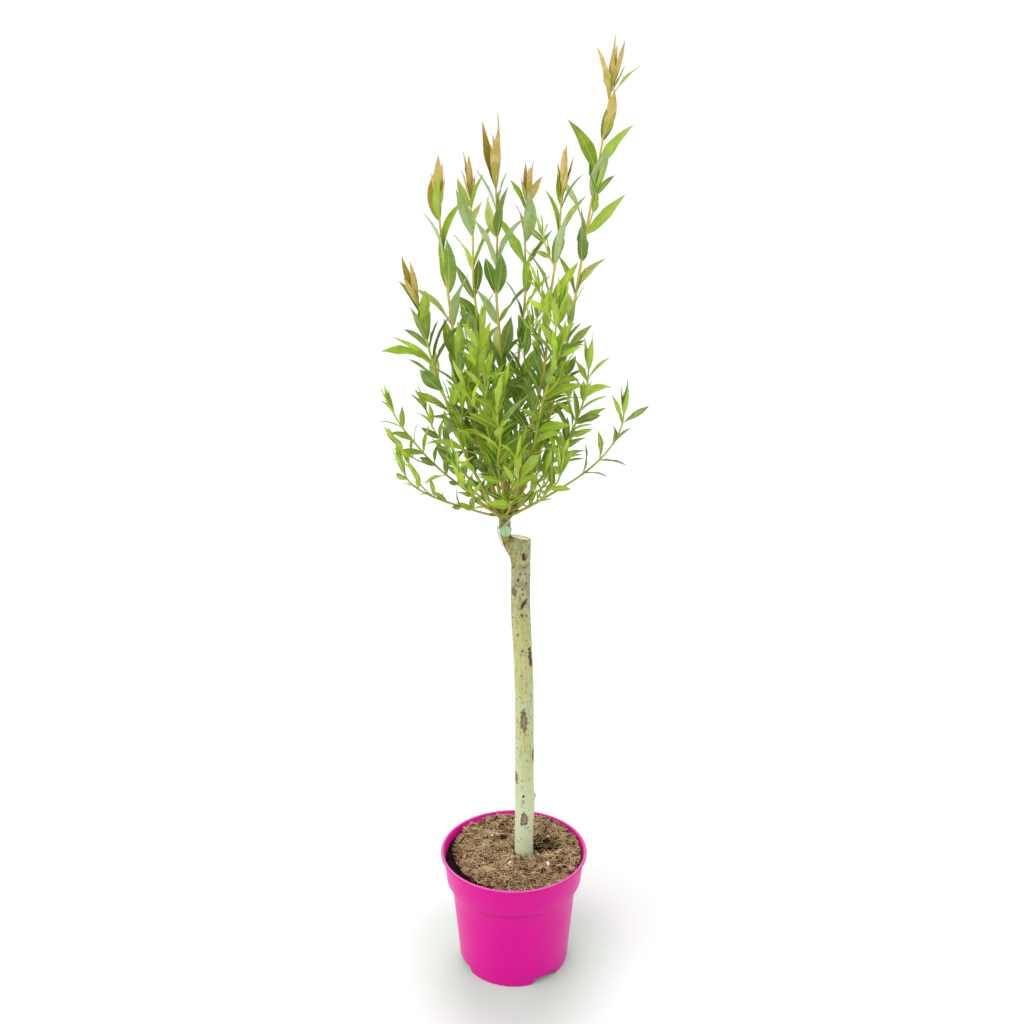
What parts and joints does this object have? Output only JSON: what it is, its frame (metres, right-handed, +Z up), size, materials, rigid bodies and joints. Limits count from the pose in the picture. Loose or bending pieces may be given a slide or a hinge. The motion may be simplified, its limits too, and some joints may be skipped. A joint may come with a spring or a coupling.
{
  "type": "potted willow standard",
  "caption": "Young willow grown as a standard: a bare pale trunk cut off square, a short side stub with a head of upright leafy shoots, in a round plastic pot full of potting mix.",
  "frame": {"origin": "on the ground, at the centre of the pot's round foot, which is also within a few millimetres of the middle of the whole plant's box", "axes": "+Z up along the pot's axis, +X to the right of a viewer who stands where the picture was taken, +Y away from that viewer"},
  "size_m": [0.3184, 0.2507, 1.1304],
  "materials": {
    "pot_plastic": "satin moulded plastic, magenta",
    "potting_mix": "loose brown fibre and bark, rough",
    "trunk_bark": "smooth young bark, pale yellow green with dark pores",
    "shoot_bark": "smooth young bark, olive to ochre",
    "leaves": "thin satin leaves, green with paler undersides",
    "tie_plastic": "soft translucent plastic, pale green"
  },
  "bodies": {
    "root": {"pot": "pot_plastic", "potting_mix": "potting_mix", "trunk": "trunk_bark", "head_stub": "shoot_bark", "tie_clip": "tie_plastic", "bough_tall_right": "shoot_bark", "bough_tall_centre": "shoot_bark", "bough_tall_left": "shoot_bark", "bough_mid_left": "shoot_bark", "bough_mid_centre": "shoot_bark", "bough_mid_right": "shoot_bark", "bough_low_left": "shoot_bark", "bough_arching_right": "shoot_bark", "bough_bright_left": "shoot_bark", "bough_bright_right": "shoot_bark", "bough_small_centre": "shoot_bark", "foliage_tall_right": "leaves", "foliage_tall_centre": "leaves", "foliage_tall_left": "leaves", "foliage_mid_left": "leaves", "foliage_mid_centre": "leaves", "foliage_mid_right": "leaves", "foliage_low_left": "leaves", "foliage_low_right": "leaves", "foliage_arching_right": "leaves", "foliage_spreading_left": "leaves", "foliage_inner_left": "leaves", "foliage_lowest_left": "leaves", "foliage_front": "leaves", "foliage_front_short": "leaves", "foliage_bright_left": "leaves", "foliage_bright_right": "leaves", "foliage_small_centre": "leaves", "foliage_back_left": "leaves", "foliage_back": "leaves", "foliage_back_right": "leaves", "foliage_back_low_left": "leaves", "foliage_back_low_right": "leaves", "foliage_front_low_left": "leaves", "foliage_front_low_right": "leaves"}
  },
  "joints": []
}
